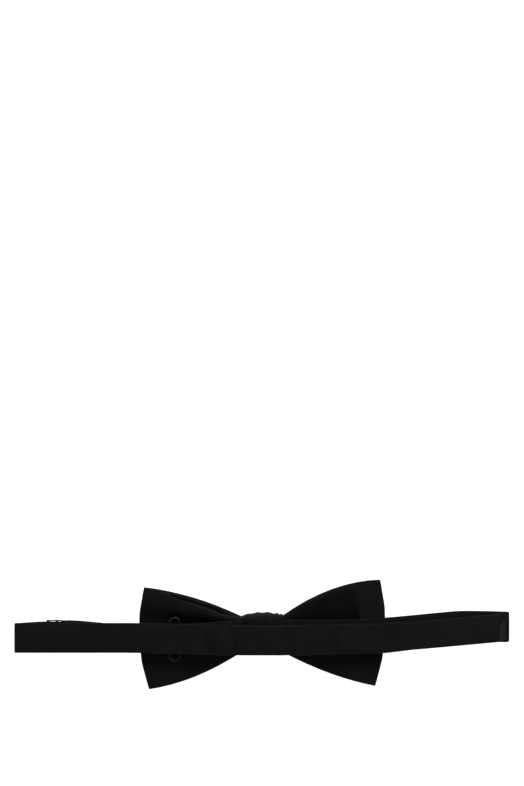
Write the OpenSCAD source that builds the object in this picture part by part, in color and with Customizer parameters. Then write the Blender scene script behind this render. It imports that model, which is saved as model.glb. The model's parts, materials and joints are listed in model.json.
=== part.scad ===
// Pre-tied bow tie on an adjustable neckband, hooked shut and pressed flat.
// It lies on its front: the table is z = 0, the bow's back faces +Z and the band runs along X.

/* [Neckband] */
// Width of the neckband
band_w = 14.7; // [12:0.1:16]
// Thickness of the neckband, cover and interlining together
band_t = 1.0; // [0.9:0.05:1.1]
// Wall of the band's folded cover
band_wall = 0.3; // [0.25:0.05:0.35]
// Distance from the middle to the right-hand fold of the pressed loop
fold_right_x = 120.4; // [110:0.1:130]
// Distance from the middle to the left-hand fold of the pressed loop
fold_left_x = 120.2; // [110:0.1:130]

/* [Bow] */
// Distance from the middle to the tips of the wings
wing_reach = 60.7; // [58:0.1:63]
// Wall of the bow's folded cover
bow_wall = 0.45; // [0.35:0.05:0.5]
// Width of the knot along the band
knot_w = 20.6; // [18:0.1:24]
// Height of the knot
knot_h = 21; // [20.5:0.1:22]
// Depth of the knot from its front to its back
knot_d = 12.8; // [12.8:0.1:13]

/* [Fittings] */
// Diameter of the eye's wire
eye_wire = 1.4; // [1.3:0.05:1.5]
// Length of the eye across the band
eye_len = 22.1; // [20:0.1:24]
// Width of the eye along the band
eye_wide = 5.9; // [5.8:0.1:6.2]
// Thickness of the hook's sheet metal
hook_t = 0.7; // [0.6:0.05:0.8]
// Length of the slider along the band
slider_l = 9.6; // [8:0.1:12]

/* [Hidden] */

cloth = "#17161a";
lining = "#2a2a2c";
thread = "#101012";
enamel = "#0c0c0e";

$fn = 48;
gap = 0.3;
fit = 0.1;
thread_t = 0.5;

// Knot: a closed wrap around X with a rounded section, its flat front on the table
knot_wall = 1.0;
knot_lining = 0.4;
knot_y = 0.75;
knot_round = 3.5;
knot_half = knot_w / 2;
knot_in = knot_wall + knot_lining;

// Heights of the band's runs, at their middles
run_gap = 2.0;
front_run_z = knot_d - knot_in - gap - band_t / 2;
back_run_z = knot_d + band_t;
shoulder_x = 12;
right_low_z = 0.8;
left_low_z = 2.3;
right_high_z = right_low_z + run_gap;
left_high_z = left_low_z + run_gap;

// Slopes of the straight runs, away from the knot
front_slope = (front_run_z - right_low_z) / (fold_right_x - shoulder_x);
back_slope_r = (back_run_z - right_high_z) / (fold_right_x - shoulder_x);
back_slope_l = (back_run_z - left_high_z) / (fold_left_x - shoulder_x);
side_tilt = atan(back_slope_l);

function front_z(x) = front_run_z - front_slope * max(0, x - shoulder_x);
function back_z(x) = back_run_z - (x > 0 ? back_slope_r : back_slope_l) * max(0, abs(x) - shoulder_x);
function side_z(x) = left_low_z + back_slope_l * (x + fold_left_x);

// Eye, held in the loop at the front run's end
eye_x = -42.6;
eye_y = -1.9;
eye_z = 8.2;
eye_leg = eye_wide / 2 - eye_wire / 2;
eye_pivot_x = eye_x + eye_leg;
eye_loop_in = eye_wire / 2 + 0.1;
eye_loop_out = eye_loop_in + band_t;
eye_loop_y = -1.8;

// Hook, on the side run's end
hook_bar_x = -52;
hook_bar_r = 0.6;
hook_y = -1.6;
hook_bar_z = side_z(hook_bar_x) - hook_bar_r - 0.1 - band_t / 2;
hook_loop_in = hook_bar_r + 0.1;
hook_loop_out = hook_loop_in + band_t;
hook_mouth = eye_wire / 2 + gap;
tongue_w = 9;

// Slider, on the side run, which is straight from here to the hook
straight_from = -106.5;
side_slope = 0.02;
side_yaw = -atan(side_slope);
function side_y(x) = hook_y - side_slope * (x - hook_bar_x);
slider_x = -101;
slider_band_w = band_w - 0.3;
hook_band_w = band_w - 1.5;
slider_bar_r = 0.6;
end_ply = 0.5;
slider_bar_z = side_z(slider_x) - band_t / 2 - gap - end_ply - slider_bar_r - 0.05;

// Paths of the runs' middles: distance along the band, height in the plane, height above the table
front_path = [
    [-38.8, eye_loop_y, eye_z + (eye_loop_in + eye_loop_out) / 2],
    [-shoulder_x, 0, front_run_z],
    [shoulder_x, 0.3, front_run_z],
    [45, 0.35, front_z(45)],
    [61, 1.25, front_z(61)],
    [97, 4.5, front_z(97)],
    [110, 4.3, front_z(110)],
    [fold_right_x, 3.95, right_low_z]
];
back_path = [
    [-fold_left_x, -1.5, left_high_z],
    [-60, -1.2, back_z(-60)],
    [-shoulder_x, -2.2, back_run_z],
    [shoulder_x, -2.2, back_run_z],
    [60, -1.45, back_z(60)],
    [87, 0.85, back_z(87)],
    [104, 2.3, back_z(104)],
    [fold_right_x, 3.7, right_high_z]
];
// The side run and the turnback narrow towards the hook, so these points end with the width there
side_path = [
    [-fold_left_x, -1.6, left_low_z, band_w],
    [straight_from, side_y(straight_from), side_z(straight_from), slider_band_w],
    [hook_bar_x, hook_y, side_z(hook_bar_x), hook_band_w]
];
turnback_path = [
    [slider_x + 1.9, side_y(slider_x + 1.9), slider_bar_z, slider_band_w],
    [hook_bar_x - 1.2, hook_y, hook_bar_z - (hook_loop_in + hook_loop_out) / 2, hook_band_w]
];

// Closes a stack of equal rings of points into one solid; each ring runs out along one face and
// back along the other, so that an end is closed with pairs of points that face each other
module loft(rings) {
    n = len(rings[0]);
    m = len(rings);
    sides = [
        for (i = [0 : m - 2], j = [0 : n - 1])
            let (a = i * n + j, b = i * n + (j + 1) % n)
                each [[a, b, b + n], [a, b + n, a + n]]
    ];
    near_cap = [for (j = [0 : n / 2 - 2]) each [[j, n - 1 - j, n - 2 - j], [j, n - 2 - j, j + 1]]];
    far = (m - 1) * n;
    far_cap = [
        for (j = [0 : n / 2 - 2])
            each [[far + j, far + j + 1, far + n - 2 - j], [far + j, far + n - 2 - j, far + n - 1 - j]]
    ];
    polyhedron(points = [for (r = rings) each r], faces = concat(sides, near_cap, far_cap));
}

// One section of flat cloth, with eased edges
function cloth_ring(p, w, t) =
    let (c = t / 3, y = w / 2, z = t / 2)
        [for (q = [[-y + c, -z], [-y, -z + c], [-y, z - c], [-y + c, z],
                   [y - c, z], [y, z - c], [y, -z + c], [y - c, -z]])
            [p.x, p.y + q.x, p.z + q.y]];

// A strip along a path; its width is the band's, or a point's own, less what it is narrower
module ribbon(path, narrower, t) {
    loft([for (p = path) cloth_ring(p, (len(p) > 3 ? p[3] : band_w) - narrower, t)]);
}

// A path made longer at both ends, so that a cut goes right through
function past_ends(path) =
    let (n = len(path) - 1, a = path[0] - path[1], b = path[n] - path[n - 1])
        concat([path[0] + a * (1 / norm(a))], [for (i = [1 : n - 1]) path[i]],
               [path[n] + b * (1 / norm(b))]);

module folded_cover(path) {
    difference() {
        ribbon(path, 0, band_t);
        ribbon(past_ends(path), 2 * band_wall, band_t - 2 * band_wall);
    }
}

module lining_strip(path) {
    ribbon(path, 2 * band_wall + 2 * fit, band_t - 2 * band_wall - 0.1);
}

// Stands a drawing up: its x stays along the band and its y becomes height
module across_band(y, w) {
    translate([0, y + w / 2, 0]) rotate([90, 0, 0]) linear_extrude(w) children();
}

module rounded_box_2d(w, h, r) {
    square([w - 2 * r, h], center = true);
    square([w, h - 2 * r], center = true);
    for (sx = [-1, 1], sy = [-1, 1])
        translate([sx * (w / 2 - r), sy * (h / 2 - r)]) circle(r);
}

// Bow outline: quadratic curves from the knot to the tip, one for each edge of each wing
function curve(t, a, b, c) = (1 - t) * (1 - t) * a + 2 * t * (1 - t) * b + t * t * c;
wing_edges = [
    [[9.1, 20.5, 23.1], [-8.6, -23.5, -26.8]],
    [[9.4, 26.3, 26.85], [-8.4, -20.7, -25.2]]
];
pinch_top = knot_y + 7.8;
pinch_low = knot_y - 7.8;
pinch_front = 2.2;
pinch_back = 9.3;
tip_bow = 3.9;
tip_middle = 0.16;
wing_steps = 8;

function edge_y(side, which, u) =
    let (e = wing_edges[side > 0 ? 1 : 0][which]) curve(u, e[0], e[1], e[2]);

// Where the tip edge lies for a height share v, from -1 at the bottom to 1 at the top
function tip_x(v) = wing_reach - tip_bow * pow(v - tip_middle, 2);

// Front and back of the whole bow at a distance from the middle
function bow_front_z(x) =
    x < knot_half ? pinch_front
    : max(0, pinch_front - 0.2 * (x - knot_half)) + 0.004 * pow(max(0, x - 48), 2);
function bow_back_z(x) = x < knot_half ? pinch_back : 8.7 - 0.0896 * (x - shoulder_x);

// One ring of a wing layer between two shares of the bow's depth, drawn in by inset
edge_shares = [[-1, 0.25], [-0.94, 1], [-0.5, 1], [0, 1], [0.5, 1], [0.94, 1], [1, 0.25]];
function wing_ring(side, u, low, high, inset) =
    let (
        reach = u < 0 ? 0 : 1,
        top = u < 0 ? pinch_top : edge_y(side, 0, u),
        bottom = u < 0 ? pinch_low : edge_y(side, 1, u),
        mid = (top + bottom) / 2,
        half = (top - bottom) / 2 - 2 * inset
    )
        [for (turn = [0, 1], k = [0 : 6])
            let (
                e = edge_shares[turn == 0 ? k : 6 - k],
                x = u < 0 ? 0 : curve(u, knot_half, 0.5 * (knot_half + tip_x(e[0])), tip_x(e[0]) - 2 * inset),
                z0 = bow_front_z(x),
                z1 = bow_back_z(x),
                zl = z0 + low * (z1 - z0) + inset,
                zh = z0 + high * (z1 - z0) - inset,
                zm = (zl + zh) / 2,
                s = turn == 0 ? 1 : -1
            )
                [side * x, mid + half * e[0], zm + s * e[1] * (zh - zl) / 2]];

module bow_layer(low, high, inset) {
    shares = [for (i = [wing_steps : -1 : 0]) i / wing_steps];
    left = [for (u = shares) wing_ring(-1, u, low, high, inset)];
    middle = [wing_ring(1, -1, low, high, inset)];
    right = [for (i = [len(shares) - 1 : -1 : 0]) wing_ring(1, shares[i], low, high, inset)];
    loft(concat(left, middle, right));
}

module bow_cover(low, high) {
    difference() {
        bow_layer(low, high, 0);
        bow_layer(low, high, bow_wall);
    }
}

lining_gap = 0.1;
front_share = 0.53;
back_share = 0.58;

module front_bow_cover() {
    color(cloth) bow_cover(0, front_share);
}

module front_bow_interlining() {
    color(lining) bow_layer(0, front_share, bow_wall + lining_gap);
}

module back_bow_cover() {
    color(cloth) bow_cover(back_share, 1);
}

module back_bow_interlining() {
    color(lining) bow_layer(back_share, 1, bow_wall + lining_gap);
}

// A closed band around X, used for the knot's layers and the gathering thread
module around_x(w, h, d, y, z, wall, r) {
    translate([-w / 2, y, z]) rotate([90, 0, 90]) linear_extrude(w) difference() {
        rounded_box_2d(h, d, r);
        rounded_box_2d(h - 2 * wall, d - 2 * wall, max(0.5, r - wall));
    }
}

// The thread that gathers the bow, wound round its pinched middle
module gather_thread() {
    pinch_h = pinch_top - pinch_low + 2 * thread_t + 0.6;
    pinch_d = pinch_back - pinch_front + 2 * thread_t + 0.1;
    color(thread)
        for (x = [-1.2 : 0.6 : 1.2])
            translate([x, 0, 0])
                around_x(thread_t, pinch_h, pinch_d, knot_y, (pinch_back + pinch_front) / 2, thread_t, 1.2);
}

module knot_wrap() {
    color(cloth) around_x(knot_w, knot_h, knot_d, knot_y, knot_d / 2, knot_wall, knot_round);
}

module knot_interlining() {
    color(lining)
        around_x(knot_w - 1, knot_h - 2 * knot_wall, knot_d - 2 * knot_wall, knot_y, knot_d / 2,
                 knot_lining, knot_round - knot_wall);
}

// Closing stitches on the back of the knot
module knot_stitches() {
    color(thread)
        for (i = [-3 : 3])
            translate([i * 2.4 - 0.6, -3.2, knot_d]) cube([1.2, 0.35, 0.2]);
}

module front_run_cover() {
    color(cloth) folded_cover(front_path);
}

module front_run_interlining() {
    color(lining) lining_strip(front_path);
}

// The front run's end, turned round the eye's leg and back up under the run
eye_tail_x = -30;
eye_tail_z = eye_z + eye_loop_in - gap;

module eye_loop() {
    top_z = eye_z + eye_loop_in;
    low_z = eye_z - eye_loop_out;
    color(cloth) across_band(eye_loop_y, band_w) {
        difference() {
            translate([eye_pivot_x, eye_z]) circle(eye_loop_out);
            translate([eye_pivot_x, eye_z]) circle(eye_loop_in);
            translate([eye_pivot_x, eye_z - 3]) square([3, 6]);
        }
        translate([eye_pivot_x, top_z]) square([front_path[0].x - eye_pivot_x, band_t]);
        polygon([
            [eye_pivot_x, low_z],
            [eye_tail_x, eye_tail_z - band_t],
            [eye_tail_x, eye_tail_z],
            [eye_pivot_x, low_z + band_t]
        ]);
    }
}

// Stitches that close the loop, between the turned end and the run
module eye_bar_tack() {
    x = eye_tail_x - 1.5;
    high = eye_tail_z + 0.35;
    color(thread)
        for (i = [-5 : 5])
            translate([x, eye_loop_y + i * 1.2 - 0.2, eye_tail_z]) cube([0.8, 0.4, high - eye_tail_z]);
}

// The doubled end where the band's two lengths are joined
lap_from = 88;
lap_to = 102.5;
lap_t = 0.5;
function lap_point(x) = [x, lookup(x, [for (p = front_path) [p.x, p.y]]), front_z(x) + (band_t + lap_t) / 2];

module join_lap() {
    color(cloth) ribbon([for (x = [lap_from, 97, lap_to]) lap_point(x)], 0, lap_t);
}

module join_stitches() {
    p = lap_point(lap_to - 2);
    color(thread)
        for (i = [-5 : 5])
            translate([p.x, p.y + i * 1.25, p.z + lap_t / 2 + 0.1]) cube([0.4, 0.8, 0.12], center = true);
}

// A half turn of the band between two runs, about an axis along Y
module fold_turn(x, y, z, side) {
    middle = run_gap / 2;
    translate([x, y, z + middle]) rotate([90, 0, 0])
        rotate([0, 0, side > 0 ? -90 : 90])
            rotate_extrude(angle = 180)
                translate([middle, 0]) square([band_t, band_w - 0.6], center = true);
}

module right_fold() {
    color(cloth) fold_turn(fold_right_x, 3.8, right_low_z, 1);
}

module back_run_cover() {
    color(cloth) folded_cover(back_path);
}

module back_run_interlining() {
    color(lining) lining_strip(back_path);
}

module left_fold() {
    color(cloth) fold_turn(-fold_left_x, -1.65, left_low_z, -1);
}

module side_run_cover() {
    color(cloth) folded_cover(side_path);
}

module side_run_interlining() {
    color(lining) lining_strip(side_path);
}

// The side run's end, turned round the hook's bar
module hook_loop() {
    color(cloth) across_band(hook_y, hook_band_w) difference() {
        translate([hook_bar_x, hook_bar_z]) circle(hook_loop_out);
        translate([hook_bar_x, hook_bar_z]) circle(hook_loop_in);
        translate([hook_bar_x - 4, hook_bar_z - 4]) square([4, 8]);
    }
}

module turnback_run() {
    color(cloth) ribbon(turnback_path, 0, band_t);
}

module eye_ring() {
    straight = eye_len - eye_wide;
    color(enamel) translate([eye_x, eye_y, eye_z]) {
        for (s = [-1, 1]) {
            translate([s * eye_leg, straight / 2, 0]) rotate([90, 0, 0]) cylinder(d = eye_wire, h = straight);
            translate([0, s * straight / 2, 0]) rotate([0, 0, s > 0 ? 0 : 180])
                rotate_extrude(angle = 180) translate([eye_leg, 0]) circle(d = eye_wire);
        }
    }
}

// Sheet-metal hook: a bar for the strap, two cheeks, a bridge and a tongue that closes on the eye
module hook() {
    leg_x = eye_x - eye_leg;
    top_z = eye_z + hook_mouth;
    cheek_y = hook_band_w / 2 + 0.2;
    cheek_t = 0.5;
    bridge_x = hook_bar_x + hook_loop_out + 0.3;
    bridge_w = 2.6;
    color(enamel) {
        translate([hook_bar_x, hook_y + cheek_y + cheek_t, hook_bar_z]) rotate([90, 0, 0])
            cylinder(r = hook_bar_r, h = 2 * (cheek_y + cheek_t));
        for (s = [-1, 1])
            across_band(hook_y + s * (cheek_y + cheek_t / 2), cheek_t) {
                translate([hook_bar_x, hook_bar_z]) circle(1.1);
                polygon([
                    [hook_bar_x - 0.75, hook_bar_z + 0.8],
                    [hook_bar_x + 0.85, hook_bar_z - 0.7],
                    [bridge_x + bridge_w, top_z],
                    [bridge_x + bridge_w, top_z + hook_t],
                    [bridge_x, top_z + hook_t]
                ]);
            }
        across_band(hook_y, 2 * cheek_y + 2 * cheek_t)
            translate([bridge_x, top_z]) square([bridge_w, hook_t]);
        across_band(hook_y, tongue_w) {
            translate([bridge_x, top_z]) square([leg_x - bridge_x, hook_t]);
            translate([leg_x - 2.4, eye_z - hook_mouth - hook_t]) square([2.4, hook_t]);
        }
        translate([leg_x, hook_y, eye_z]) rotate([90, 0, 0]) rotate([0, 0, -90])
            rotate_extrude(angle = 180)
                translate([hook_mouth, -tongue_w / 2]) square([hook_t, tongue_w]);
    }
}

// Slider, drawn along the side run: two flat outer bars above the run, a round bar below it
module slider_place() {
    translate([slider_x, side_y(slider_x), side_z(slider_x)]) rotate([0, 0, side_yaw])
        rotate([0, -side_tilt, 0]) children();
}

slider_flat = 0.5;
slider_cheek_t = 0.5;
slider_drop = (side_z(slider_x) - slider_bar_z) * cos(side_tilt);

module slider_frame() {
    low = band_t / 2 + 0.22;
    cheek_y = slider_band_w / 2 + 0.2;
    color(enamel) slider_place() {
        for (s = [-1, 1]) {
            translate([s * (slider_l / 2 - 0.8), 0, low + slider_flat / 2])
                cube([1.6, 2 * cheek_y + 2 * slider_cheek_t, slider_flat], center = true);
            across_band(s * (cheek_y + slider_cheek_t / 2), slider_cheek_t) {
                translate([0, -slider_drop]) circle(1.1);
                polygon([
                    [-slider_l / 2, low + slider_flat],
                    [-slider_l / 2, low],
                    [-1, -slider_drop - 0.4],
                    [1, -slider_drop - 0.4],
                    [slider_l / 2, low],
                    [slider_l / 2, low + slider_flat]
                ]);
            }
        }
        translate([0, cheek_y + slider_cheek_t, -slider_drop]) rotate([90, 0, 0])
            cylinder(r = slider_bar_r, h = 2 * (cheek_y + slider_cheek_t));
    }
}

// The band's end, turned round the slider's bar and sewn to itself
module slider_end_loop() {
    color(cloth) slider_place() across_band(0, slider_band_w - 0.3) difference() {
        union() {
            translate([0, -slider_drop]) circle(slider_bar_r + 0.05 + end_ply);
            translate([0, -slider_drop - 0.4]) square([1.55, 0.8]);
        }
        translate([0, -slider_drop]) circle(slider_bar_r + 0.05);
    }
}

module slider_bar_tack() {
    color(thread) slider_place()
        for (i = [-5 : 5])
            translate([1.2, i * 1.2, -slider_drop - 0.5]) cube([0.3, 0.5, 0.2], center = true);
}

front_bow_cover();
front_bow_interlining();
back_bow_cover();
back_bow_interlining();
gather_thread();
knot_wrap();
knot_interlining();
knot_stitches();
front_run_cover();
front_run_interlining();
eye_loop();
eye_bar_tack();
join_lap();
join_stitches();
right_fold();
back_run_cover();
back_run_interlining();
left_fold();
side_run_cover();
side_run_interlining();
hook_loop();
turnback_run();
eye_ring();
hook();
slider_frame();
slider_end_loop();
slider_bar_tack();
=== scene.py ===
import json
import math

import bpy
import numpy as np
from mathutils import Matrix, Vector, noise


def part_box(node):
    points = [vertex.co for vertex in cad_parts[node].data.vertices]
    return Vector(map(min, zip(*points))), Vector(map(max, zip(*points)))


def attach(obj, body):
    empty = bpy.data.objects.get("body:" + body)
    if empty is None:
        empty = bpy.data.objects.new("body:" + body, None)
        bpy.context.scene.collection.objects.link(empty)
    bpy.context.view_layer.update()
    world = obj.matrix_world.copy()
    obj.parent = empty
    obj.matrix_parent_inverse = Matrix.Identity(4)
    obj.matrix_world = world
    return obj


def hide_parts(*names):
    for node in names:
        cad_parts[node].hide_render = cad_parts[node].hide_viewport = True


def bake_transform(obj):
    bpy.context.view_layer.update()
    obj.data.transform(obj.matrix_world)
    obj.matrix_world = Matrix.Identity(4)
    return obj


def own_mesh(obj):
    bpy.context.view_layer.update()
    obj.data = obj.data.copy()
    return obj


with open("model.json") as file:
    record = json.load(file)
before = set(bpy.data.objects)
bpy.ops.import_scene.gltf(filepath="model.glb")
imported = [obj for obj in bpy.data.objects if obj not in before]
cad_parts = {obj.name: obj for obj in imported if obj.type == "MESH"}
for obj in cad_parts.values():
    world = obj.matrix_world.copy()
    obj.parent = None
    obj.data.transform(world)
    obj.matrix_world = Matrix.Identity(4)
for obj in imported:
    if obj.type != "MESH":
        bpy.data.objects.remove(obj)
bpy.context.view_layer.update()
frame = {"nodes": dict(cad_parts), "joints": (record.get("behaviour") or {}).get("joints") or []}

MM = 0.001
X_AXIS = np.array([1.0, 0.0, 0.0])
Y_AXIS = np.array([0.0, 1.0, 0.0])


# ---------------------------------------------------------------- measuring the CAD frame, in mm

def cad_points(name):
    """The points of a CAD node's mesh."""
    mesh = frame["nodes"][name].data
    points = np.empty(len(mesh.vertices) * 3, np.float32)
    mesh.vertices.foreach_get("co", points)
    return points.reshape(-1, 3).astype(float) / MM


def cad_box(name):
    low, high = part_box(name)
    return np.array(low) / MM, np.array(high) / MM


def joint(name):
    return next(j for j in frame["joints"] if j["name"] == name)


def joint_place(name):
    return np.array(joint(name)["pos_m"]) / MM


def cad_section(name, axis, value):
    """The lowest and highest corner of the cut that a plane across one axis makes in a CAD node."""
    mesh = frame["nodes"][name].data
    points = cad_points(name)
    ends = np.empty(len(mesh.edges) * 2, np.int32)
    mesh.edges.foreach_get("vertices", ends)
    a, b = points[ends[0::2]], points[ends[1::2]]
    run = b[:, axis] - a[:, axis]
    share = (value - a[:, axis]) / np.where(abs(run) < 1e-6, 1e-6, run)
    cut = (share >= 0) & (share <= 1)
    hits = a[cut] + share[cut, None] * (b[cut] - a[cut])
    return hits.min(axis=0), hits.max(axis=0)


def stations(name):
    """The lowest and highest corner at each station along a flat run of the band."""
    points = cad_points(name)
    places = np.unique(points[:, 0].round(1))
    rings = [points[abs(points[:, 0] - x) < 0.08] for x in places]
    return np.array([[ring.min(axis=0), ring.max(axis=0)] for ring in rings])


def eased_line(name, x, reach=7.0):
    """The middle line of a flat run at each x, with its corners eased."""
    middle = stations(name).mean(axis=1)
    before = 2 * middle[0] - middle[1]
    after = 2 * middle[-1] - middle[-2]
    line = np.vstack([before, middle, after])
    shares = np.linspace(-0.9, 0.9, 9)
    weights = 1 - shares ** 2
    rows = np.zeros((len(x), 2))
    for share, weight in zip(shares, weights):
        at = x + share * reach
        rows[:, 0] += weight * np.interp(at, line[:, 0], line[:, 1])
        rows[:, 1] += weight * np.interp(at, line[:, 0], line[:, 2])
    return np.column_stack([x, rows / weights.sum()])


def smooth(x, low, high):
    """0 below low, 1 above high and an eased step between them."""
    t = np.clip((x - low) / (high - low), 0, 1)
    return t * t * (3 - 2 * t)


def bell(x, middle, reach):
    """1 at the middle and falling away on both sides of it."""
    return np.exp(-((x - middle) / reach) ** 2)


def ripple(x, y, size, seed):
    """Soft noise over x and y, with swells about size long, from -1 to 1."""
    flat = [noise.noise(Vector((a / size, b / size, seed))) for a, b in zip(np.ravel(x), np.ravel(y))]
    return 2 * np.array(flat).reshape(np.shape(x))


# ---------------------------------------------------------------- meshes

def grid_faces(rows, columns, closed_rows=False):
    """Quads between neighbouring rings; every ring is closed."""
    r = np.arange(rows if closed_rows else rows - 1)[:, None]
    c = np.arange(columns)[None, :]
    near, far = r * columns, ((r + 1) % rows) * columns
    beside = (c + 1) % columns
    quads = np.stack([near + c, near + beside, far + beside, far + c], axis=-1)
    return [tuple(q) for q in quads.reshape(-1, 4)]


def ladder_cap(columns, first, flip):
    """Closes a ring with rungs between its upper and its lower half."""
    half = columns // 2
    faces = [(first, first + 1, first + columns - 1)]
    faces += [
        (first + j, first + j + 1, first + columns - j - 1, first + columns - j)
        for j in range(1, half - 1)
    ]
    faces.append((first + half - 1, first + half, first + half + 1))
    return [f[::-1] for f in faces] if flip else faces


def skin(rings, cloth, inward=False, closed=False):
    """One closed surface from rings of points, with each point's place on the cloth."""
    rows, columns = rings.shape[:2]
    faces = grid_faces(rows, columns, closed)
    smooth_faces = len(faces)
    if not closed:
        faces += ladder_cap(columns, 0, True) + ladder_cap(columns, (rows - 1) * columns, False)
    if inward:
        faces = [f[::-1] for f in faces]
    is_smooth = [i < smooth_faces for i in range(len(faces))]
    return rings.reshape(-1, 3), faces, cloth.reshape(-1, 3), is_smooth


def make_piece(name, skins, material):
    """Joins skins, in mm, into one smooth mesh object in metres, with crisp ends."""
    points, faces, cloth, is_smooth = [], [], [], []
    for skin_points, skin_faces, skin_cloth, skin_smooth in skins:
        start = sum(len(p) for p in points)
        points.append(skin_points)
        cloth.append(skin_cloth)
        faces += [tuple(i + start for i in f) for f in skin_faces]
        is_smooth += skin_smooth
    mesh = bpy.data.meshes.new(name)
    mesh.from_pydata((np.vstack(points) * MM).tolist(), [], faces)
    mesh.update()
    mesh.polygons.foreach_set("use_smooth", is_smooth)
    place = mesh.attributes.new("cloth", "FLOAT_VECTOR", "POINT")
    place.data.foreach_set("vector", np.vstack(cloth).ravel().astype(np.float32))
    mesh.materials.append(material)
    piece = bpy.data.objects.new(name, mesh)
    bpy.context.scene.collection.objects.link(piece)
    return piece


def tube_section(across_points=17, bead=0.2):
    """A flattened tube: shares of its half width and of its half thickness, round the ring."""
    angle = np.linspace(-math.pi / 2, math.pi / 2, across_points)
    across = np.sin(angle)
    height = np.sqrt(1 - abs(across) ** 7)
    height *= 1 - bead + bead * bell(abs(across), 0.93, 0.06)
    across = np.concatenate([across, across[-2:0:-1]])
    height = np.concatenate([height, -height[-2:0:-1]])
    return across, height


def distance_along(line):
    steps = np.linalg.norm(np.diff(line, axis=0), axis=1)
    return np.concatenate([[0], np.cumsum(steps)])


def sweep(line, width, thick, wall, lift=None, wide=Y_AXIS, closed=False, started=0.0,
          across_points=17):
    """A folded tube of cloth along a line: an outer skin, and an inner one that a wall parts from it.

    lift gives how far each point of a ring stands out, from the points where they would lie flat,
    and started how much cloth lies before the line's first point.
    """
    if closed:
        tangent = np.roll(line, -1, axis=0) - np.roll(line, 1, axis=0)
    else:
        tangent = np.gradient(line, axis=0)
    tangent = tangent - (tangent @ wide)[:, None] * wide
    tangent /= np.linalg.norm(tangent, axis=1)[:, None]
    outward = np.cross(wide, tangent)
    travel = started + distance_along(line)
    skins = []
    for inset, inward in ((0, False), (wall, True)):
        across, height = tube_section(across_points)
        side = across * (np.broadcast_to(width, len(line))[:, None] / 2 - inset)
        flat = line[:, None, :] + side[:, :, None] * wide
        rings = flat + (height * (thick / 2 - inset))[None, :, None] * outward[:, None, :]
        if lift is not None:
            rings = rings + lift(flat)[:, :, None] * outward[:, None, :]
        cloth = np.stack(np.broadcast_arrays(travel[:, None], side, height[None, :]), axis=-1)
        skins.append(skin(rings, cloth, inward, closed))
    return skins


def strip(line, width, thick, lift=None):
    """A plain strip along a line, such as the interlining in the band."""
    return sweep(line, width, thick, 0.0, lift)[:1]


def thread_tube(line, radius, sides=8):
    """A round thread along a line."""
    tangent = np.gradient(line, axis=0)
    tangent /= np.linalg.norm(tangent, axis=1)[:, None]
    guide = X_AXIS if abs(tangent[:, 0]).max() < 0.9 else Y_AXIS + 0.3
    first = np.cross(tangent, guide)
    first /= np.linalg.norm(first, axis=1)[:, None]
    second = np.cross(tangent, first)
    turn = np.arange(sides) * 2 * math.pi / sides
    cosine, sine = np.cos(turn)[None, :, None], np.sin(turn)[None, :, None]
    ring = cosine * first[:, None, :] + sine * second[:, None, :]
    travel = distance_along(line)
    cloth = np.stack(np.broadcast_arrays(travel[:, None], (turn * radius)[None, :], 0.0), axis=-1)
    return skin(line[:, None, :] + radius * ring, cloth, inward=True)


def stitch_row(node_name, count, axis, radius, rise):
    """A row of stitches in a CAD node's place, each a short arch of thread that dives into the cloth."""
    share = 0.62
    low, high = cad_box(node_name)
    middle = (low + high) / 2
    pitch = (high[axis] - low[axis]) / (count - 1 + share)
    bends = np.linspace(0, math.pi, 9)
    skins = []
    for i in range(count):
        line = np.tile(middle, (len(bends), 1))
        line[:, axis] = low[axis] + pitch * (i + share / 2) - np.cos(bends) * pitch * share / 2
        line[:, 2] = low[2] + np.sin(bends) * rise - radius
        skins.append(thread_tube(line, radius))
    return skins


# ---------------------------------------------------------------- materials

# Spacing of the twill's ribs and of its threads, in mm of cloth
RIB = 0.62
THREAD_PITCH = 0.31
CLOTH_ROUGHNESS = 0.8

# Specks of lint: how far apart they can lie, in mm, and their size as a share of that
LINT_SPACING = 8.0
LINT_SIZE = 0.03
LINT_COLOUR = (0.09, 0.088, 0.08, 1)


def add_node(tree, kind, inputs=None, **settings):
    """A shader node with its inputs set to values or linked to sockets."""
    made = tree.nodes.new("ShaderNode" + kind)
    for key, value in settings.items():
        setattr(made, key, value)
    for key, value in (inputs or {}).items():
        if isinstance(value, bpy.types.NodeSocket):
            tree.links.new(value, made.inputs[key])
        else:
            made.inputs[key].default_value = value
    return made


def maths(tree, operation, *values):
    made = add_node(tree, "Math", dict(enumerate(values)), operation=operation)
    return made.outputs[0]


def spread(tree, value, low, high, to_low, to_high):
    made = add_node(tree, "MapRange", {
        "Value": value, "From Min": low, "From Max": high, "To Min": to_low, "To Max": to_high})
    return made.outputs[0]


def tinted(tree, colour, strength):
    """A colour made lighter or darker by a socket."""
    return add_node(tree, "VectorMath", {0: (*colour,), 3: strength}, operation="SCALE").outputs[0]


def new_material(name):
    material = bpy.data.materials.new(name)
    material.use_nodes = True
    tree = material.node_tree
    return material, tree, tree.nodes["Principled BSDF"]


def wave(tree, value, period):
    return maths(tree, "COSINE", maths(tree, "MULTIPLY", value, 2 * math.pi / period))


def cloth_place(tree):
    """The place on the cloth in mm, as a vector and as its distance along and across."""
    place = add_node(tree, "Attribute", attribute_name="cloth").outputs["Vector"]
    parts = add_node(tree, "SeparateXYZ", {"Vector": place})
    return place, parts.outputs["X"], parts.outputs["Y"]


def cloth_noise(tree, place, size, detail=2.0):
    scaled = add_node(tree, "VectorMath", {0: place, 3: 1 / size}, operation="SCALE").outputs[0]
    return add_node(tree, "TexNoise", {"Vector": scaled, "Scale": 1.0, "Detail": detail}).outputs["Fac"]


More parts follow.
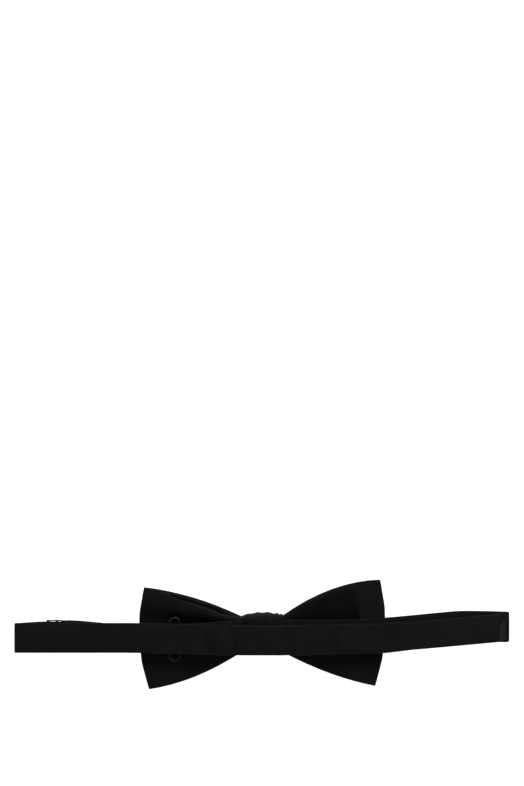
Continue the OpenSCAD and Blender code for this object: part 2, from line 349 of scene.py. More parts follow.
def woven(name, colour, lint):
    """Fine twill: diagonal ribs over single threads, faint slubs, mottling, a painted highlight and shade on
    the weave and a little lint.
    """
    material, tree, shader = new_material(name)
    place, along, across = cloth_place(tree)
    diagonal = wave(tree, maths(tree, "ADD", along, across), RIB)
    threads = maths(
        tree, "MULTIPLY", wave(tree, along, THREAD_PITCH), wave(tree, across, THREAD_PITCH))
    drawn_out = add_node(
        tree, "VectorMath", {0: place, 1: (0.12, 1.6, 1.0)}, operation="MULTIPLY").outputs[0]
    slubs = cloth_noise(tree, drawn_out, 0.9)
    ribs = maths(tree, "MULTIPLY", diagonal, 0.5)
    weave = maths(tree, "ADD", ribs, maths(tree, "MULTIPLY", threads, 0.35))
    height = maths(tree, "ADD", weave, maths(tree, "MULTIPLY", slubs, 1.2))
    pucker = cloth_noise(tree, place, 3.2, 3.0)
    height = maths(tree, "ADD", height, maths(tree, "MULTIPLY", pucker, 3.0))
    bump = add_node(tree, "Bump", {"Strength": 0.7, "Distance": 0.04 * MM, "Height": height})
    mottling = spread(tree, cloth_noise(tree, place, 11.0, 3.0), 0.3, 0.7, 0.86, 1.14)
    # Painted highlight and shade: the colour is lighter on the tops of the ribs and threads and darker
    # between them, times random mottling.
    shade = maths(tree, "MULTIPLY", mottling, spread(tree, weave, -0.8, 0.8, 0.8, 1.15))
    base = tinted(tree, colour, shade)
    cells = add_node(tree, "VectorMath", {0: place, 3: 1 / LINT_SPACING}, operation="SCALE").outputs[0]
    specks = add_node(tree, "TexVoronoi", {"Vector": cells, "Scale": 1.0})
    near = maths(tree, "LESS_THAN", specks.outputs["Distance"], LINT_SIZE)
    chosen = add_node(tree, "SeparateColor", {"Color": specks.outputs["Color"]}).outputs["Red"]
    speck = maths(tree, "MULTIPLY", near, maths(tree, "LESS_THAN", chosen, lint))
    mixed = add_node(tree, "Mix", {"Factor": speck, 6: base, 7: LINT_COLOUR}, data_type="RGBA")
    tree.links.new(mixed.outputs[2], shader.inputs["Base Color"])
    worn = cloth_noise(tree, place, 5.0)
    rough = spread(tree, worn, 0.3, 0.7, CLOTH_ROUGHNESS - 0.07, CLOTH_ROUGHNESS + 0.07)
    tree.links.new(rough, shader.inputs["Roughness"])
    tree.links.new(bump.outputs[0], shader.inputs["Normal"])
    shader.inputs["Specular IOR Level"].default_value = 0.12
    shader.inputs["Sheen Weight"].default_value = 0.05
    shader.inputs["Sheen Roughness"].default_value = 0.45
    shader.inputs["Sheen Tint"].default_value = (0.9, 0.9, 0.92, 1)
    return material


def felted(name, colour):
    """Interlining: short matted fibres."""
    material, tree, shader = new_material(name)
    place = cloth_place(tree)[0]
    fibres = cloth_noise(tree, place, 0.5, 6.0)
    bump = add_node(tree, "Bump", {"Strength": 0.9, "Distance": 0.08 * MM, "Height": fibres})
    shade = spread(tree, fibres, 0.3, 0.7, 0.7, 1.3)
    tree.links.new(tinted(tree, colour, shade), shader.inputs["Base Color"])
    tree.links.new(spread(tree, fibres, 0.3, 0.7, 0.85, 1.0), shader.inputs["Roughness"])
    tree.links.new(bump.outputs[0], shader.inputs["Normal"])
    shader.inputs["Specular IOR Level"].default_value = 0.1
    return material


def spun(name, colour, twist):
    """Sewing thread: plies that wind round it, with a painted highlight on each ply's crown and painted
    shade between them.
    """
    material, tree, shader = new_material(name)
    place, along, around = cloth_place(tree)
    plies = wave(tree, maths(tree, "ADD", along, maths(tree, "MULTIPLY", around, 0.8)), twist)
    fluff = cloth_noise(tree, place, 0.2, 3.0)
    bump = add_node(tree, "Bump", {
        "Strength": 0.8, "Distance": 0.04 * MM, "Height": maths(tree, "ADD", plies, fluff)})
    # Painted highlight and shade: lighter on the plies' crowns, darker in the grooves between them.
    shade = spread(tree, plies, -1.0, 1.0, 0.7, 1.25)
    tree.links.new(tinted(tree, colour, shade), shader.inputs["Base Color"])
    tree.links.new(spread(tree, fluff, 0.3, 0.7, 0.55, 0.75), shader.inputs["Roughness"])
    tree.links.new(bump.outputs[0], shader.inputs["Normal"])
    shader.inputs["Specular IOR Level"].default_value = 0.2
    return material


def enamelled(name, colour):
    """Black stoving enamel on wire and sheet: glossy, a little wavy, duller where it is rubbed."""
    material, tree, shader = new_material(name)
    place = add_node(tree, "TexCoord").outputs["Object"]
    peel = add_node(tree, "TexNoise", {"Vector": place, "Scale": 1500.0, "Detail": 2.0}).outputs["Fac"]
    rubs = add_node(tree, "TexNoise", {"Vector": place, "Scale": 260.0, "Detail": 4.0}).outputs["Fac"]
    bump = add_node(tree, "Bump", {"Strength": 0.25, "Distance": 0.03 * MM, "Height": peel})
    shade = spread(tree, rubs, 0.3, 0.7, 0.8, 1.3)
    tree.links.new(tinted(tree, colour, shade), shader.inputs["Base Color"])
    tree.links.new(spread(tree, rubs, 0.35, 0.7, 0.34, 0.5), shader.inputs["Roughness"])
    tree.links.new(bump.outputs[0], shader.inputs["Normal"])
    shader.inputs["IOR"].default_value = 1.36
    shader.inputs["Specular IOR Level"].default_value = 0.3
    shader.inputs["Coat Weight"].default_value = 0.05
    shader.inputs["Coat Roughness"].default_value = 0.25
    return material


BOW_CLOTH = woven("bow_cloth", (0.0108, 0.0108, 0.0094), lint=0.10)
BAND_CLOTH = woven("band_cloth", (0.0124, 0.0124, 0.0107), lint=0.45)
INTERLINING = felted("interlining", (0.03, 0.03, 0.03))
THREAD = spun("thread", (0.012, 0.012, 0.012), twist=0.5)
ENAMEL = enamelled("enamelled_metal", (0.012, 0.012, 0.013))


# ---------------------------------------------------------------- neckband

# Cloth thickness, the room round an interlining, and the spacing of rings along a run and along its lining
BAND_WALL = 0.3
LINING_GAP = 0.15
RUN_STEP = 0.8
LINING_STEP = 1.6

# Where the two straps meet, how close to it each has one more ring, and how far a run ends short of its fold
SPLIT_X = -4.0
SPLIT_HOLD = 0.02
FOLD_LEAD = 0.3

# How much narrower the near run is at its right end, and its rise there per mm down from TILT_TOP
NARROWING = 1.0
TILT = 0.15
TILT_TOP = 9.0

# The thickness and wall of the cloth at the join and at the slider, and how much narrower the lap is
END_PLY = 0.5
END_WALL = 0.15
LAP_INSET = 0.3

# How far the turned-back run strays sideways between the hook and the slider
TURNBACK_ASKEW = 0.75

run_low, run_high = stations("back_run_cover")[0]
BAND_WIDTH = run_high[1] - run_low[1]
BAND_THICK = run_high[2] - run_low[2]

# Wrinkles of the near run: place along the band, slant, half width and height as a share of the depth
WRINKLE_DEPTH = 1.9
WRINKLES = (
    (35.3, 0.03, 1.2, -0.62),
    (30.6, 0.05, 1.9, 0.26),
    (39.8, -0.05, 2.2, 0.30),
    (47.5, 0.10, 2.2, -0.16),
    (56.0, 0.00, 2.6, 0.14),
    (17.8, 0.05, 2.2, 0.26),
    (11.9, -0.08, 1.1, -0.46),
    (8.8, -0.05, 1.1, 0.24),
    (5.9, 0.05, 0.9, -0.16),
    (-15.0, -0.36, 1.4, -0.42),
    (-21.0, -0.25, 2.4, 0.28),
    (-27.5, -0.08, 1.2, -0.44),
    (-31.0, 0.05, 1.7, 0.24),
    (-38.0, 0.12, 1.7, -0.34),
    (-46.5, 0.10, 3.0, 0.26),
    (-55.2, -0.10, 1.6, -0.27),
    (-60.5, 0.05, 2.2, 0.20),
    (-68.5, 0.15, 2.0, -0.26),
    (-80.0, -0.15, 2.6, -0.22),
    (-92.5, 0.10, 2.2, -0.20),
    (66.0, 0.15, 2.2, -0.20),
    (79.0, -0.10, 2.8, 0.22),
    (92.0, 0.12, 2.4, -0.14),
)


def near_run_lift(points):
    """How far the near run stands up, in soft cross wrinkles and where its lower edge turns up."""
    x, y = points[:, :, 0], points[:, :, 1]
    lift = 0.10 * ripple(x, y, 9.0, 3.1) + 0.05 * ripple(x, y, 3.5, 8.4)
    for place, slant, half, height in WRINKLES:
        lift = lift + WRINKLE_DEPTH * height * bell(x, place + slant * y, half)
    return lift + TILT * (TILT_TOP - y) * smooth(x, 62, 92)


def hidden_run_lift(points):
    """How far a run that lies under another stands up."""
    x, y = points[:, :, 0], points[:, :, 1]
    return 0.08 * ripple(x, y, 11.0, 5.7)


def strap_lift(upper_share):
    """Wrinkles by row: the near run's where upper_share is 1 and hidden ones where it is 0."""
    share = np.asarray(upper_share)[:, None]

    def lift(points):
        return share ** 2 * near_run_lift(points) + (1 - share) ** 2 * 0.5 * hidden_run_lift(points)

    return lift


def arc(centre, radius, start, end, y_start, y_end, step=11.0):
    """Points on an arc in the upright plane along the band; angles in degrees from +X."""
    count = max(4, int(abs(end - start) / step) + 1)
    angle = np.radians(np.linspace(start, end, count))
    y = np.linspace(y_start, y_end, count)
    return np.column_stack([centre[0] + radius * np.cos(angle), y, centre[1] + radius * np.sin(angle)])


def run_points(name, start, end):
    """Points along a flat run, with two close together where the straps meet, to keep the shading flat."""
    count = int(abs(end - start) / RUN_STEP) + 1
    x = np.linspace(start, end, count)
    if SPLIT_X in (start, end):
        held = SPLIT_X + SPLIT_HOLD * np.sign(start + end - 2 * SPLIT_X)
        x = np.sort(np.append(x, held))
        x = x[::-1] if start > end else x
    return eased_line(name, x)


def fold_place(name, side):
    """Centre and middle radius of a fold between two runs."""
    low, high = cad_box(name)
    centre = (low[0] if side > 0 else high[0], (low[2] + high[2]) / 2)
    return centre, (high[2] - low[2] - BAND_THICK) / 2


def front_strap():
    """The eye's loop, the front run, the right-hand fold and the near run as far as the split."""
    pivot = joint_place("eye_swing")
    low, high = cad_box("eye_loop")
    loop_y = (low[1] + high[1]) / 2
    radius = pivot[0] - low[0] - BAND_THICK / 2
    points = cad_points("eye_loop")
    tail = points[points[:, 0] > high[0] - 0.1].mean(axis=0)
    tail_x = np.linspace(tail[0], pivot[0] + 0.6, 12)
    tail_z = np.interp(tail_x, [pivot[0], tail[0]], [pivot[2] - radius, tail[2]])
    turned_end = np.column_stack([tail_x, np.full(len(tail_x), loop_y), tail_z])
    loop = arc((pivot[0], pivot[2]), radius, 270, 90, loop_y, loop_y, step=15.0)
    (fold_x, fold_z), fold_radius = fold_place("right_fold", 1)
    front_run = run_points("front_run_cover", pivot[0] + 1.2, fold_x - FOLD_LEAD)
    near_run = run_points("back_run_cover", fold_x - FOLD_LEAD, SPLIT_X)
    fold = arc((fold_x, fold_z), fold_radius, -90, 90, front_run[-1, 1], near_run[0, 1])
    line = np.vstack([turned_end, loop, front_run, fold, near_run])
    upper = np.zeros(len(line))
    upper[-len(near_run):] = smooth(-near_run[:, 0], -fold_x, -fold_x + 5)
    return line, upper


def rear_strap():
    """The near run from the split on, the left-hand fold, the side run and its turn round the hook."""
    (fold_x, fold_z), fold_radius = fold_place("left_fold", -1)
    bar = joint_place("hook_swing")
    low, high = cad_box("hook_loop")
    radius = high[0] - bar[0] - BAND_THICK / 2
    near_run = run_points("back_run_cover", SPLIT_X, fold_x + FOLD_LEAD)
    side_run = run_points("side_run_cover", fold_x + FOLD_LEAD, bar[0] - FOLD_LEAD)
    fold = arc((fold_x, fold_z), fold_radius, 90, 270, near_run[-1, 1], side_run[0, 1])
    hook_turn = arc((bar[0], bar[2]), radius, 90, -90, side_run[-1, 1], side_run[-1, 1], step=15.0)
    tail = hook_turn[-1] + np.array([[-0.5, 0, 0], [-1.0, 0, -0.02]])
    line = np.vstack([near_run, fold, side_run, hook_turn, tail])
    upper = np.zeros(len(line))
    upper[:len(near_run)] = smooth(near_run[:, 0], fold_x, fold_x + 5)
    return line, upper


def run_width(name, x):
    """How wide a flat run of the band is at each x."""
    low, high = np.moveaxis(stations(name), 1, 0)
    return np.interp(x, low[:, 0], high[:, 1] - low[:, 1])


def narrowing(x):
    """How much narrower the near run is at each x than the band."""
    return NARROWING * smooth(x, 60, 76)


def make_strap(name, line, upper, lower_run, nodes, started):
    """A strap of the band; its rows are as wide as the near run by their upper share."""
    upper_width = BAND_WIDTH - narrowing(line[:, 0])
    width = upper * upper_width + (1 - upper) * run_width(lower_run, line[:, 0])
    skins = sweep(line, width, BAND_THICK, BAND_WALL, strap_lift(upper), started=started)
    piece = make_piece(name, skins, BAND_CLOTH)
    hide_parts(*nodes)
    return piece


def blend_strap(piece):
    """Reads a strap's points and bakes its placement into its mesh."""
    points = np.empty(len(piece.data.vertices) * 3, np.float32)
    piece.data.vertices.foreach_get("co", points)
    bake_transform(piece)


def make_straps():
    """The two straps that the band's cover is drawn with, each bent in one of its two folds."""
    front_line, front_upper = front_strap()
    rear_line, rear_upper = rear_strap()
    front = make_strap(
        "front_strap", front_line, front_upper, "front_run_cover",
        ["front_run_cover", "eye_loop", "right_fold"], started=0.0)
    rear = make_strap(
        "rear_strap", rear_line, rear_upper, "side_run_cover",
        ["back_run_cover", "left_fold", "side_run_cover", "hook_loop"],
        started=distance_along(front_line)[-1])
    blend_strap(front)
    blend_strap(rear)


def make_lining(name, node, body, upper_run):
    """The felt strip inside one run, on the body of that run."""
    low, high = cad_box(node)
    cover = node.replace("interlining", "cover")
    count = int((high[0] - low[0] - 1.0) / LINING_STEP)
    line = eased_line(cover, np.linspace(high[0] - 0.5, low[0] + 0.5, count))
    if not upper_run:
        line = line[::-1]
    upper = np.full(len(line), 1.0 if upper_run else 0.0)
    width = run_width(cover, line[:, 0]) - 2 * BAND_WALL - 4 * LINING_GAP
    width = width - upper * narrowing(line[:, 0])
    thick = BAND_THICK - 2 * BAND_WALL - 2 * LINING_GAP
    piece = make_piece(name, strip(line, width, thick, strap_lift(upper)), INTERLINING)
    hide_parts(node)
    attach(piece, body)


def make_join_lap():
    """The doubled end where the band's two lengths are joined, lying on the front run."""
    low, high = cad_box("join_lap")
    line = eased_line("front_run_cover", np.linspace(low[0], high[0], 18))
    line[:, 2] += (BAND_THICK + END_PLY) / 2
    width = BAND_WIDTH - LAP_INSET
    piece = make_piece("join_lap_cloth", sweep(line, width, END_PLY, END_WALL), BAND_CLOTH)
    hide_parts("join_lap")
    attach(piece, "bow")


def make_turnback():
    """The band's turned-back run, from the hook's bar to the slider."""
    low, high = cad_box("turnback_run")
    middle = stations("turnback_run").mean(axis=1)
    x = np.linspace(high[0] - 0.1, low[0] + 0.35, 52)
    y = np.interp(x, middle[:, 0], middle[:, 1])
    askew = TURNBACK_ASKEW * smooth(-x, 74, 92) * (1 - smooth(-x, 95, 99))
    line = np.column_stack([x, y + askew, np.interp(x, middle[:, 0], middle[:, 2])])
    width = run_width("turnback_run", x)
    skins = sweep(line, width, BAND_THICK, BAND_WALL, lambda points: 0.6 * hidden_run_lift(points))
    piece = make_piece("turnback_strap", skins, BAND_CLOTH)
    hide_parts("turnback_run")
    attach(piece, "side_run")
    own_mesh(piece)


def make_slider_loop():
    """The band's end, turned round the slider's bar and back on itself."""
    low, high = cad_box("slider_end_loop")
    radius = (high[2] - low[2] - END_PLY) / 2
    centre = (low[0] + radius + END_PLY / 2, (low[2] + high[2]) / 2)
    y = (low[1] + high[1]) / 2
    turn = arc(centre, radius, 330, 30, y, y, step=15.0)
    lead = np.array([[high[0], y, centre[1] - 0.22], [turn[0, 0] + 0.3, y, centre[1] - 0.3]])
    back = np.array([[turn[-1, 0] + 0.3, y, centre[1] + 0.3], [high[0], y, centre[1] + 0.22]])
    line = np.vstack([lead, turn, back])
    skins = sweep(line, high[1] - low[1], END_PLY, END_WALL)
    piece = make_piece("slider_loop_cloth", skins, BAND_CLOTH)
    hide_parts("slider_end_loop")
    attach(piece, "slider")


make_straps()
make_lining("front_run_lining", "front_run_interlining", "bow", upper_run=False)
make_lining("back_run_lining", "back_run_interlining", "back_run", upper_run=True)
make_lining("side_run_lining", "side_run_interlining", "side_run", upper_run=False)
make_join_lap()
make_turnback()
make_slider_loop()


# ---------------------------------------------------------------- bow

# Cloth thickness, and how much of the CAD layer's depth the layer takes and the felt takes inside it
BOW_WALL = 0.45
BOW_DEPTH_SHARE = 0.92
FELT_DEPTH_SHARE = 0.35

# Allowance for the ends
END_ALLOWANCE = 2

# A wing's rings are even as far as TIP_START, and close together from there to the folded tip
WING_COLUMNS = 64
TIP_COLUMNS = 12
TIP_START = 0.93
TIP_ROUNDING = 0.975

# How far the back layer's top edge lies below the front one's on the left wing, and how far both stand out
BOW_DROP = 2.9
TOP_RISE = 0.22
RIGHT_TIP_REACH = 0.35

# The knot's half width, the wing's length beyond it and about half the wing's height at its tip
KNOT_HALF = 10.3
WING_BEYOND = 50.1
TIP_HALF_HEIGHT = 25

# Where the outline is measured: steps along a wing and up its tip, a little inside its corners
OUTLINE_STEPS = 41
TIP_STEPS = 25
CORNER_SHARE = 0.998
CORNER_MARGIN = 0.05


def wing_outline(side):
    """One wing's top and bottom edges by share of its length, and its tip by share of its height."""
    points = np.vstack([cad_points("back_bow_cover"), cad_points("front_bow_cover")])
    points = points[points[:, 0] * side > 0]
    top, bottom = points[points[:, 1].argmax()], points[points[:, 1].argmin()]
    shares = np.linspace(0, 1, OUTLINE_STEPS)
    tops = [cad_section("back_bow_cover", 0, top[0] * t * CORNER_SHARE)[1][1] for t in shares]
    bottoms = [cad_section("back_bow_cover", 0, bottom[0] * t * CORNER_SHARE)[0][1] for t in shares]
    heights = np.linspace(bottom[1] + CORNER_MARGIN, top[1] - CORNER_MARGIN, TIP_STEPS)
    ends = [cad_section("back_bow_cover", 1, y) for y in heights]
    tips = [high[0] if side > 0 else -low[0] for low, high in ends]
    return shares, np.array(tops), np.array(bottoms), np.linspace(-1, 1, TIP_STEPS), np.array(tips)


OUTLINES = {side: wing_outline(side) for side in (-1, 1)}


def depth_of(name):
    """Front and back of one bow layer by distance from the middle, as the right wing has them."""
    x = np.linspace(0, 58, 59)
    cuts = [cad_section(name, 0, at) for at in x]
    return x, np.array([low[2] for low, high in cuts]), np.array([high[2] for low, high in cuts])


def wing_place(side, t, v, drop):
    """x and y of a wing at shares t of its length and v of its height; drop lowers the top edge."""
    shares, tops, bottoms, heights, tips = OUTLINES[side]
    x = side * t * (np.interp(v, heights, tips) + (RIGHT_TIP_REACH if side > 0 else 0.0))
    lowered = drop * smooth(t, 0.1, 0.35) * (1 - smooth(t, 0.66, 0.92))
    top = np.interp(t, shares, tops) + TOP_RISE - lowered
    bottom = np.interp(t, shares, bottoms)
    return x, bottom + (top - bottom) * (v + 1) / 2


def height_share(side, u, v):
    """How high the cloth stands as a share of the bow's plain depth, out from the knot and up the wing.

    Both layers follow it, so one never cuts into the other: a raised rim along the top edge, a valley
    that runs from it down to the band, and a fall from the band to the bottom edge.
    """
    hidden = smooth(v, -0.5, 0.05)
    fall = 0.13 * smooth(-v, 0.1, 0.75) * (1 - 0.6 * smooth(u, 0.35, 0.9))
    if side > 0:
        reach = smooth(u, 0.0, 0.1) * (0.3 + 0.7 * smooth(u, 0.1, 0.42)) * (1 - smooth(u, 0.68, 0.775))
        down = np.clip((0.95 - 0.11 * u - v) / 0.66, 0, 1)
        valley = (0.68 + 0.12 * smooth(u, 0.45, 0.65)) * reach * down * (1.6 - 0.6 * down) * hidden
        rim = 0.24 * smooth(v, 0.0, 0.6) * smooth(u, 0.08, 0.45) * (1 - smooth(u, 0.72, 0.85))
        rim = rim - 0.26 * smooth(v, 0.1, 1.0) * smooth(u, 0.68, 0.85)
        return 1 + rim - valley - fall
    reach = smooth(u, 0.0, 0.12) * (0.55 + 0.45 * smooth(u, 0.1, 0.35))
    valley = 0.64 * reach * (1 - smooth(v, 0.3 + 0.1 * u, 0.9 - 0.08 * u)) * hidden
    rim = 0.1 * smooth(v, 0.3, 0.8) * smooth(u, 0.02, 0.3)
    return 1 + rim - valley - fall


def back_relief(side, u, v):
    """How the back layer's cloth stands off its plain depth, in mm, over shares u out from the knot."""
    gathers = 0.45 * np.exp(-u / 0.14) * np.cos(7.0 * v + 0.6)
    soft_folds = 0.16 * bell(u, 0.35, 0.3) * np.cos(9.0 * v - 2.2 * u * side)
    if side > 0:
        return gathers + soft_folds
    crease_line = 0.80 - 0.10 * u
    creases = 0.22 * np.cos((v - crease_line) * 34.0) * bell(v, crease_line, 0.12)
    return gathers + soft_folds + creases * smooth(u, 0.55, 0.75) * (1 - smooth(u, 0.88, 0.98))


def front_relief(side, u, v):
    """The same for the front layer: pleats run out from the knot, and its edge stands up on the left."""
    pleats = 0.35 * np.exp(-u / 0.4) * np.cos(8.0 * v + 0.4 * side)
    if side > 0:
        return pleats
    half_height = 8.9 + 26.3 * u - 10.2 * u ** 2
    at_edge = 1 - smooth((1 - v) * half_height, 1.2, 2.6)
    lip = 1.5 * at_edge * smooth(u, 0.03, 0.2) * (1 - smooth(u, 0.62, 0.85))
    return pleats + lip


def front_pleats(side, u, v):
    """How deep a dimple and two pleats run into the front face, in mm, out from the knot."""
    dimple = 1.1 * bell(v, 0.0, 0.22) * np.exp(-u / 0.34)
    upper = 1.3 * bell(v, 0.46 + 0.1 * u, 0.10) * np.exp(-u / 0.42)
    lower = 1.3 * bell(v, -0.5 - 0.06 * side * u, 0.11) * np.exp(-u / 0.38)
    return (dimple + upper + lower) * smooth(u, 0.0, 0.03)


def bow_rings(name, relief, drop, inset, shrink=1.0):
    """Rings of one bow layer from the left tip to the right one, drawn in by inset.

    Towards its folded edges a layer thins from its hidden face, up to the back or down to the front.
    """
    seen = 1 if relief is back_relief else -1
    depth_x, depth_low, depth_high = depth_of(name)
    across, height = tube_section(33, bead=0.0)
    shape = np.sign(height) * np.sqrt(1 - abs(across) ** 9)
    tip = TIP_START + 0.068 * np.sin(np.linspace(0.12, 1.5, TIP_COLUMNS))
    out = np.concatenate([np.linspace(0, TIP_START, WING_COLUMNS), tip])
    rings, cloth = [], []
    for side, shares in ((-1, out[::-1]), (1, out[1:])):
        for t in shares:
            half = max(1.0, TIP_HALF_HEIGHT * t)
            v = across * (1 - inset / half * 1.2)
            x, y = wing_place(side, t * (1 - inset * 0.02), v, drop if side < 0 else 0.0)
            u = np.clip((abs(x) - KNOT_HALF) / WING_BEYOND, 0, 1)
            low = np.interp(abs(x), depth_x, depth_low)
            high = np.interp(abs(x), depth_x, depth_high)
            rounding = math.sqrt(max(0.02, 1 - (max(0.0, t - TIP_ROUNDING) / 0.0245) ** 2))
            half_depth = np.maximum(0.12, ((high - low) / 2 * BOW_DEPTH_SHARE - inset) * shrink) * rounding
            unevenness = 0.12 * ripple(x, y, 7.0, 2.0 + side)
            thin = 0.55 * smooth(abs(v), 0.7, 0.97) * np.maximum(0, half_depth - 0.5)
            z = (low + high) / 2 + shape * (half_depth - thin) + seen * thin
            z = height_share(side, u, v) * z + relief(side, u, v) + unevenness
            if seen < 0:
                z += front_pleats(side, u, v) * ((1 - shape) / 2 if shrink == 1 else 0.5)
            rings.append(np.column_stack([x, y, z]))
            cloth.append(np.column_stack([x, y, np.sign(height)]))
    return np.array(rings), np.array(cloth)


def make_bow_layer(name, node, relief, drop):
    """The folded cloth of one bow layer, narrower at the knot."""
    outer, cloth = bow_rings(node, relief, drop, 0.0)
    inner, inner_cloth = bow_rings(node, relief, drop, BOW_WALL)
    skins = [skin(outer, cloth, inward=True), skin(inner, inner_cloth)]
    piece = make_piece(name, skins, BOW_CLOTH)
    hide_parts(node)
    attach(piece, "bow")


def make_bow_lining(name, node, relief, drop):
    """The felt inside one bow layer."""
    rings, cloth = bow_rings(node, relief, drop, BOW_WALL + LINING_GAP, shrink=FELT_DEPTH_SHARE)
    piece = make_piece(name, [skin(rings, cloth, inward=True)], INTERLINING)
    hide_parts(node.replace("cover", "interlining"))
    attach(piece, "bow")


make_bow_layer("back_bow_panel", "back_bow_cover", back_relief, BOW_DROP)
make_bow_lining("back_bow_lining", "back_bow_cover", back_relief, BOW_DROP)
make_bow_layer("front_bow_panel", "front_bow_cover", front_relief, 0.0)
make_bow_lining("front_bow_lining", "front_bow_cover", front_relief, 0.0)


# ---------------------------------------------------------------- knot

# Depth of the wrap's folded strip and of the felt in it, their cloth and the radii of their corners
WRAP_DEPTH = 1.0
WRAP_WALL = 0.3
WRAP_CORNER = 3.0
KNOT_FELT_DEPTH = 0.3
KNOT_FELT_CORNER = 2.2


def rounded_loop(low, high, inset, radius, count=120):
    """A rounded rectangle round the band's line, drawn in by inset, in the plane across the band."""
    centre = (low + high) / 2
    straight = (high - low)[1:] / 2 - inset - radius
    quarter = radius * math.pi / 2
    lengths = np.array([2 * straight[0], quarter, 2 * straight[1], quarter] * 2)
    starts = np.concatenate([[0], np.cumsum(lengths)])
    points = []
    for s in np.arange(count) / count * starts[-1]:
        k = int(np.searchsorted(starts, s, side="right")) - 1
        ahead = s - starts[k]
        facing = math.pi / 2 * (1 - k // 2)
        outward = np.array([math.cos(facing), math.sin(facing)])
        heading = np.array([outward[1], -outward[0]])
        corner = (outward + heading) * straight
        if k % 2:
            turned = facing - ahead / radius
            place = corner + radius * np.array([math.cos(turned), math.sin(turned)])
        else:
            place = corner + radius * outward - (lengths[k] - ahead) * heading
        points.append((centre[0], centre[1] + place[0], centre[2] + place[1]))
    return np.array(points)


def knot_lift(points):
    """How far the wrap stands up: domed, creased near its right-hand end and drawn into soft pleats.

    The face that rests on the table stays flatter than the rest.
    """
    x, y, z = points[:, :, 0], points[:, :, 1], points[:, :, 2]
    left = -1.75 * np.clip((1.4 - x) / 11.8, 0, 1) ** 2.2
    right = -0.7 * np.clip((x - 1.4) / 9.0, 0, 1) ** 2
    crease = -0.45 * bell(x, 5.8 + 0.06 * z, 0.8) - 0.6 * bell(x, 8.7, 0.6)
    fold = 0.22 * np.cos(x * 1.25 + 0.25 * y) * bell(x, 0.0, 8.0)
    rolled = -0.55 * smooth(-x, 8.6, 10.3)
    resting = 1 - 0.75 * smooth(-z, -3.0, 0.0)
    return (left + right + rolled) * resting + (crease + fold) * (0.4 + 0.6 * resting)


def make_knot():
    """The wrap, folded from one strip, and the felt strip inside it."""
    low, high = cad_box("knot_wrap")
    width = high[0] - low[0]
    line = rounded_loop(low, high, WRAP_DEPTH / 2, WRAP_CORNER)
    skins = sweep(line, width, WRAP_DEPTH, WRAP_WALL, knot_lift, wide=X_AXIS, closed=True,
                  across_points=35)
    piece = make_piece("knot_wrap_cloth", skins, BOW_CLOTH)
    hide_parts("knot_wrap")
    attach(piece, "bow")
    low, high = cad_box("knot_interlining")
    width = high[0] - low[0] - END_ALLOWANCE
    line = rounded_loop(low, high, 0.25, KNOT_FELT_CORNER)
    skins = sweep(line, width, KNOT_FELT_DEPTH, 0.0, knot_lift, wide=X_AXIS, closed=True)[:1]
    piece = make_piece("knot_lining", skins, INTERLINING)
    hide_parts("knot_interlining")
    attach(piece, "bow")


def make_gather_thread():
    """Five turns of one thread round the pinched middle."""
    low, high = cad_box("gather_thread")
    radius = 0.25
    loop = rounded_loop(low, high, radius, 1.0, 72)
    turns = 5
    line = np.tile(loop, (turns, 1))
    line[:, 0] = np.linspace(low[0] + radius, high[0] - radius, len(line))
    piece = make_piece("gathering_thread", [thread_tube(line, radius)], THREAD)
    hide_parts("gather_thread")
    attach(piece, "bow")


def make_stitches(name, node, body, count, axis, radius, rise):
    piece = make_piece(name, stitch_row(node, count, axis, radius, rise), THREAD)
    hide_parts(node)
    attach(piece, body)


make_knot()
make_gather_thread()
make_stitches("knot_seam_stitches", "knot_stitches", "bow", count=7, axis=0, radius=0.16, rise=0.35)
make_stitches("eye_loop_tack", "eye_bar_tack", "bow", count=11, axis=1, radius=0.16, rise=0.3)
make_stitches("band_join_stitches", "join_stitches", "bow", count=11, axis=1, radius=0.12, rise=0.25)
make_stitches("slider_loop_tack", "slider_bar_tack", "slider", count=11, axis=1, radius=0.1, rise=0.2)


# ---------------------------------------------------------------- metal fittings

def make_fitting(name, node, body, bevel):
    """A copy of a CAD fitting, with its hard edges rounded by bevel mm under the enamel."""
    mesh = frame["nodes"][node].data.copy()
    piece = bpy.data.objects.new(name, mesh)
    bpy.context.scene.collection.objects.link(piece)
    mesh.materials.clear()
    mesh.materials.append(ENAMEL)
    if bevel:
        weld = piece.modifiers.new("weld", "WELD")
        weld.merge_threshold = 0.002 * MM
        rounding = piece.modifiers.new("rounding", "BEVEL")
        rounding.width = bevel * MM
        rounding.segments = 3
        rounding.limit_method = "ANGLE"
        rounding.angle_limit = math.radians(40)
    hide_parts(node)
    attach(piece, body)
    mesh.polygons.foreach_set("use_smooth", [True] * len(mesh.polygons))


make_fitting("eye_wire", "eye_ring", "eye", bevel=0)
make_fitting("hook_plate", "hook", "hook", bevel=0.15)
make_fitting("slider_plate", "slider_frame", "slider", bevel=0.12)


# ---------------------------------------------------------------- floor, lights and camera

FLOOR_REACH = 4000
FLOOR_DROP = 0.1
CAMERA_PLACE = (0.12, 118.8, 2149)


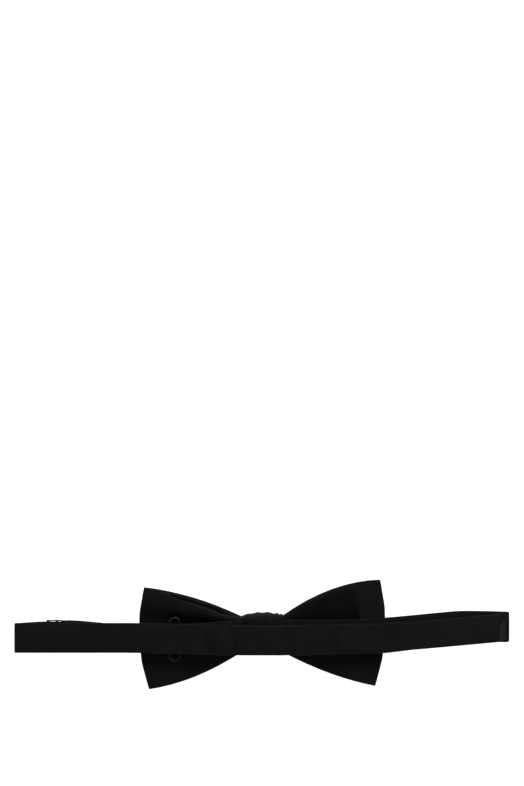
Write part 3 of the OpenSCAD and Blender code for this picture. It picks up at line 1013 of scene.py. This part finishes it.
def make_floor():
    """A pale table that glows a little, so that it stays evenly white."""
    mesh = bpy.data.meshes.new("floor")
    corners = [
        (x * FLOOR_REACH * MM, y * FLOOR_REACH * MM, -FLOOR_DROP * MM)
        for x, y in ((-1, -1), (1, -1), (1, 1), (-1, 1))
    ]
    mesh.from_pydata(corners, [], [(0, 1, 2, 3)])
    material, tree, shader = new_material("floor")
    grain = add_node(tree, "TexNoise", {"Scale": 40.0}).outputs["Fac"]
    tree.links.new(spread(tree, grain, 0.0, 1.0, 0.5, 0.6), shader.inputs["Roughness"])
    shader.inputs["Base Color"].default_value = (0.9, 0.9, 0.9, 1)
    shader.inputs["Emission Color"].default_value = (1, 1, 1, 1)
    shader.inputs["Emission Strength"].default_value = 1.0
    mesh.materials.append(material)
    floor = bpy.data.objects.new("floor", mesh)
    bpy.context.scene.collection.objects.link(floor)


def softbox(name, place, size, power):
    """A square soft light, in mm, that looks at the bow."""
    light = bpy.data.lights.new(name, "AREA")
    light.size = size * MM
    light.energy = power
    lamp = bpy.data.objects.new(name, light)
    lamp.location = Vector(place) * MM
    lamp.rotation_euler = (-lamp.location).to_track_quat("-Z", "Y").to_euler()
    bpy.context.scene.collection.objects.link(lamp)


def make_camera():
    """Straight down from above, with the bow low in the frame."""
    camera = bpy.data.cameras.new("camera")
    camera.lens = 200
    camera.sensor_width = 36
    camera.clip_end = 20
    view = bpy.data.objects.new("camera", camera)
    view.location = Vector(CAMERA_PLACE) * MM
    bpy.context.scene.collection.objects.link(view)
    bpy.context.scene.camera = view


def make_world():
    """A dim white surround."""
    world = bpy.data.worlds.new("studio")
    world.use_nodes = True
    background = world.node_tree.nodes["Background"]
    background.inputs["Color"].default_value = (1, 1, 1, 1)
    background.inputs["Strength"].default_value = 0.085
    bpy.context.scene.world = world


make_floor()
softbox("key", place=(200, 600, 420), size=320, power=2.6)
softbox("fill", place=(-500, -700, 800), size=700, power=2.1)
make_camera()
make_world()
bpy.context.scene.view_settings.view_transform = "Standard"
